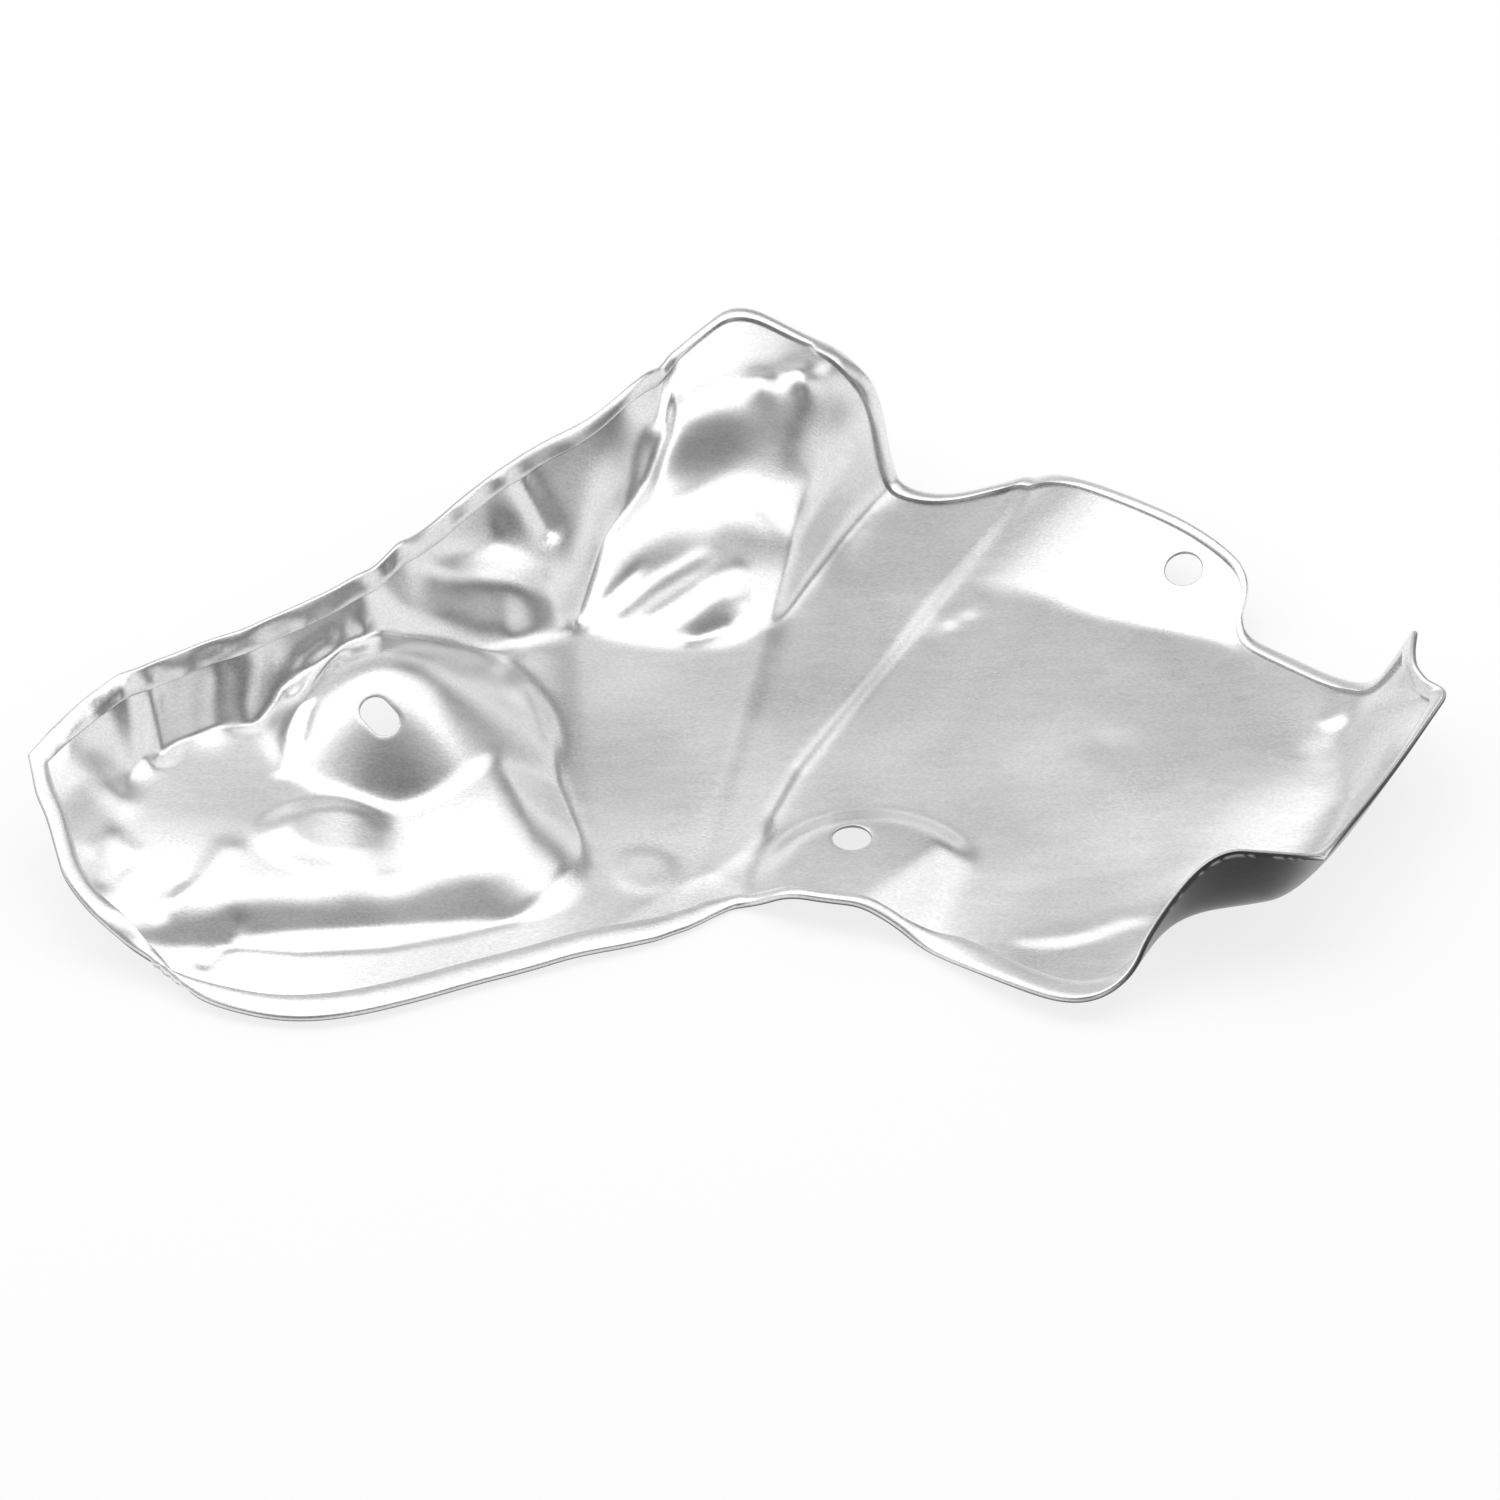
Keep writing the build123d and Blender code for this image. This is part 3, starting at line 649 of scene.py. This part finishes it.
HOLES = ((FRONT_HOLE_PLACE, round_reach), (EAR_HOLE_PLACE, round_reach), (SLOT_PLACE, slot_reach))
for place, reach in HOLES:
    gap = np.hypot(x - place[0], y - place[1])
    near = [tuple(spot) for spot in np.argwhere(gap < AROUND)]
    nearest = np.unravel_index(gap.argmin(), gap.shape)
    normal = up[nearest]
    right = np.cross((0, 1, 0), normal)
    right /= np.linalg.norm(right)
    back = np.cross(normal, right)
    centre = face[nearest].copy()
    centre += right * (place[0] - centre[0]) / right[0]
    centre += back * (place[1] - centre[1]) / back[1]
    local = {spot: (face[spot] - centre) @ np.array([right, back, normal]).T for spot in near}
    known = np.array(list(local.values()))
    opened = [
        spot for spot, (a, b, _) in local.items() if np.hypot(a, b) < reach(np.arctan2(b, a)) + OPENING
    ]
    for grid_at in (upper_at, lower_at):
        bmesh.ops.delete(mesh, geom=[grid_at.pop(spot) for spot in opened], context="VERTS")
    loop = walked([spot for spot in near if spot in upper_at and upper_at[spot].is_boundary], local)

    # The vertices round the opening are spread more evenly round the hole
    angles = np.sort(np.unwrap([np.arctan2(local[spot][1], local[spot][0]) for spot in loop]))
    for _ in range(EVENING_ROUNDS):
        wrapped = np.concatenate([[angles[-1] - 2 * np.pi], angles, [angles[0] + 2 * np.pi]])
        angles = (wrapped[:-2] + 2 * wrapped[1:-1] + wrapped[2:]) / 4

    def ring_of(verts, grow, depth, shade_share):
        """Ring of vertices set round the hole, at a depth under the upper face, with its share of painted
        shade.
        """
        for vertex, angle in zip(verts, angles):
            a, b = (reach(angle) + grow) * np.cos(angle), (reach(angle) + grow) * np.sin(angle)
            height = height_at(a, b, known) - depth
            vertex.co = metres(centre + a * right + b * back + height * normal)
            vertex[underside_shade] = shade_share
        return verts

    rings = [ring_of([upper_at[spot] for spot in loop], COLLAR, 0.0, 0.0)]
    for grow, depth, shade_share in EDGE_RINGS:
        rings.append(ring_of([mesh.verts.new() for _ in loop], grow, depth, shade_share))
    for grow, depth, _ in EDGE_RINGS[::-1]:
        rings.append(ring_of([mesh.verts.new() for _ in loop], grow, SHEET - depth, UNDERSIDE_SHADE))
    rings.append(ring_of([lower_at[spot] for spot in loop], COLLAR, SHEET, UNDERSIDE_SHADE))
    for one, two in zip(rings[:-1], rings[1:]):
        for step in range(len(loop)):
            after = (step + 1) % len(loop)
            mesh.faces.new((one[step], one[after], two[after], two[step]))

open_verts = [vertex for vertex in mesh.verts if vertex.is_boundary]
bmesh.ops.remove_doubles(mesh, verts=open_verts, dist=1e-6)
for item in mesh.faces:
    item.smooth = True
data = bpy.data.meshes.new("heat_shield_sheet")
mesh.to_mesh(data)
mesh.free()
shield = bpy.data.objects.new("heat_shield_sheet", data)
bpy.context.collection.objects.link(shield)

# Satin mill finish of the rolled sheet: fine grain, streaks along the rolling direction and
# faint clouds. Painted shade darkens the joint under the hem's cut edge and the outside.
finish = bpy.data.materials.new("satin_aluminium")
finish.use_nodes = True
nodes, links = finish.node_tree.nodes, finish.node_tree.links
shader = nodes["Principled BSDF"]
shader.inputs["Metallic"].default_value = 1.0
spot = nodes.new("ShaderNodeTexCoord")


def noise(scale, stretch, detail):
    """Noise over the sheet, drawn out along an axis."""
    mapping = nodes.new("ShaderNodeMapping")
    mapping.inputs["Scale"].default_value = stretch
    links.new(spot.outputs["Object"], mapping.inputs["Vector"])
    texture = nodes.new("ShaderNodeTexNoise")
    texture.inputs["Scale"].default_value = scale
    texture.inputs["Detail"].default_value = detail
    links.new(mapping.outputs["Vector"], texture.inputs["Vector"])
    return texture.outputs["Fac"]


def ranged(source, low, high, start=0.3, stop=0.7):
    """A value brought from one range to another."""
    remap = nodes.new("ShaderNodeMapRange")
    links.new(source, remap.inputs["Value"])
    for name, value in (("From Min", start), ("From Max", stop), ("To Min", low), ("To Max", high)):
        remap.inputs[name].default_value = value
    return remap.outputs["Result"]


def joined(operation, one, two):
    """Two values, or a value and a number, brought together."""
    math = nodes.new("ShaderNodeMath")
    math.operation = operation
    for socket, value in zip(math.inputs, (one, two)):
        if isinstance(value, float):
            socket.default_value = value
        else:
            links.new(value, socket)
    return math.outputs[0]


def attribute(name):
    """A value kept at each vertex of the sheet."""
    reader = nodes.new("ShaderNodeAttribute")
    reader.attribute_name = name
    return reader.outputs["Fac"]


clouds = noise(38.0, (1.0, 1.0, 1.0), 3.0)
streaks = noise(420.0, (0.25, 1.0, 1.0), 4.0)
grain = noise(1900.0, (0.6, 1.0, 1.0), 2.0)
tone = joined("MULTIPLY", ranged(streaks, 0.87, 0.92), ranged(grain, 0.88, 1.06))
# Painted shade darkens the underside, the fold's lower turns and the holes' walls, most of all the wall at
# the front right corner
tone = joined("MULTIPLY", tone, ranged(attribute("underside_shade"), 1.0, 0.05, 0.0, 1.0))
# Painted shade in the joint under the hem's cut edge
tone = joined("MULTIPLY", tone, ranged(attribute("joint_shade"), 1.0, 0.65, 0.0, 1.0))
links.new(tone, shader.inputs["Base Color"])
rough = joined("ADD", ranged(clouds, 0.25, 0.33), ranged(streaks, -0.01, 0.01))
links.new(rough, shader.inputs["Roughness"])
height = joined("ADD", joined("MULTIPLY", streaks, 0.15), joined("MULTIPLY", grain, 0.35))
relief = nodes.new("ShaderNodeBump")
relief.inputs["Strength"].default_value = 0.35
relief.inputs["Distance"].default_value = 0.00008
links.new(height, relief.inputs["Height"])
links.new(relief.outputs["Normal"], shader.inputs["Normal"])
data.materials.append(finish)

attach(shield, "root")
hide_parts("heat_shield")

# The studio has a pale table top, which the camera and the metal see as white, a room of grey
# tones that the bowed sheet mirrors, and one wide soft light over the table.
floor_mesh = bmesh.new()
bmesh.ops.create_grid(floor_mesh, x_segments=1, y_segments=1, size=3)
floor_data = bpy.data.meshes.new("table_top")
floor_mesh.to_mesh(floor_data)
floor_mesh.free()
floor = bpy.data.objects.new("table_top", floor_data)
bpy.context.collection.objects.link(floor)
table = bpy.data.materials.new("pale_table")
table.use_nodes = True
nodes, links = table.node_tree.nodes, table.node_tree.links
cover = nodes["Principled BSDF"]
cover.inputs["Base Color"].default_value = (0.28, 0.28, 0.28, 1)
cover.inputs["Roughness"].default_value = 0.9
cover.inputs["Specular IOR Level"].default_value = 0.1
path = nodes.new("ShaderNodeLightPath")
seen = nodes.new("ShaderNodeMath")
seen.operation = "MAXIMUM"
links.new(path.outputs["Is Camera Ray"], seen.inputs[0])
links.new(path.outputs["Is Glossy Ray"], seen.inputs[1])
seen_all = nodes.new("ShaderNodeMath")
seen_all.operation = "MAXIMUM"
links.new(seen.outputs[0], seen_all.inputs[0])
links.new(path.outputs["Is Transmission Ray"], seen_all.inputs[1])
lift = nodes.new("ShaderNodeMath")
lift.operation = "MULTIPLY"
lift.inputs[1].default_value = 0.78
links.new(seen_all.outputs[0], lift.inputs[0])
cover.inputs["Emission Color"].default_value = (1, 1, 1, 1)
links.new(lift.outputs[0], cover.inputs["Emission Strength"])
floor_data.materials.append(table)

# The room: grey tones from the floor up, shaded stretches and white cards beside the table
world = bpy.data.worlds.new("studio")
bpy.context.scene.world = world
world.use_nodes = True
nodes, links = world.node_tree.nodes, world.node_tree.links
background = nodes["Background"]
spot = nodes.new("ShaderNodeTexCoord")
axes = nodes.new("ShaderNodeSeparateXYZ")
links.new(spot.outputs["Generated"], axes.inputs[0])


def tones(source, stops):
    """Ramp of grey tones over a value."""
    ramp = nodes.new("ShaderNodeValToRGB")
    links.new(source, ramp.inputs[0])
    bands = ramp.color_ramp.elements
    for place, tone in stops[1:-1]:
        bands.new(place).color = (tone, tone, tone, 1)
    for band, (place, tone) in zip((bands[0], bands[-1]), (stops[0], stops[-1])):
        band.position = place
        band.color = (tone, tone, tone, 1)
    return ramp.outputs["Color"]


def facing(direction):
    """How far a view direction points toward a side of the room."""
    dot = nodes.new("ShaderNodeVectorMath")
    dot.operation = "DOT_PRODUCT"
    dot.inputs[1].default_value = Vector(direction).normalized()
    links.new(spot.outputs["Generated"], dot.inputs[0])
    return dot.outputs["Value"]


def mixed(one, two, blend):
    """Two tones brought together."""
    product = nodes.new("ShaderNodeMix")
    product.data_type = "RGBA"
    product.blend_type = blend
    product.inputs["Factor"].default_value = 1.0
    links.new(one, product.inputs["A"])
    links.new(two, product.inputs["B"])
    return product.outputs["Result"]


ROOM_TONES = ((0.0, 0.95), (0.18, 0.88), (0.4, 0.6), (0.62, 0.52), (0.72, 0.6), (0.8, 0.36), (0.9, 0.42),
              (1.0, 0.26))
SHADES = (
    ((0.05, -0.75, 0.66), ((0.8, 1.0), (0.94, 0.42))),
    ((0.45, 0.55, 0.7), ((0.85, 1.0), (0.97, 0.3))),
    ((0.72, -0.45, 0.53), ((0.9, 1.0), (0.97, 0.1))),
)
CARDS = (
    ((0.9, 0.04, 0.43), ((0.93, 0.0), (0.975, 1.0))),
    ((0.5, -0.7, 0.5), ((0.955, 0.0), (0.985, 1.0))),
    ((0.56, 0.8, 0.22), ((0.96, 0.0), (0.985, 1.0))),
)
room = tones(axes.outputs["Z"], ROOM_TONES)
for direction, stops in SHADES:
    room = mixed(room, tones(facing(direction), stops), "MULTIPLY")
for direction, stops in CARDS:
    room = mixed(room, tones(facing(direction), stops), "LIGHTEN")
links.new(room, background.inputs["Color"])
background.inputs["Strength"].default_value = 1.0

lamp = bpy.data.lights.new("overhead_softbox", "AREA")
lamp.shape = "RECTANGLE"
lamp.size = 2.5
lamp.size_y = 0.92
lamp.energy = 8.4
softbox = bpy.data.objects.new("overhead_softbox", lamp)
softbox.location = (-0.4, 0.38, 1.0)
bpy.context.collection.objects.link(softbox)

# The camera looks down on the table at forty degrees, at a point just above the form's origin
ELEVATION = radians(40)
DISTANCE = 2.5
AIM_RISE = 0.00233
aim = metres(np.zeros(3)) + AIM_RISE * Vector((0, np.sin(ELEVATION), np.cos(ELEVATION)))
lens = bpy.data.cameras.new("camera")
lens.sensor_width = 36
lens.lens = 258
camera = bpy.data.objects.new("camera", lens)
camera.location = aim + DISTANCE * Vector((0, -np.cos(ELEVATION), np.sin(ELEVATION)))
camera.rotation_euler = (radians(90) - ELEVATION, 0, 0)
bpy.context.collection.objects.link(camera)
bpy.context.scene.camera = camera
bpy.context.scene.view_settings.view_transform = "Standard"
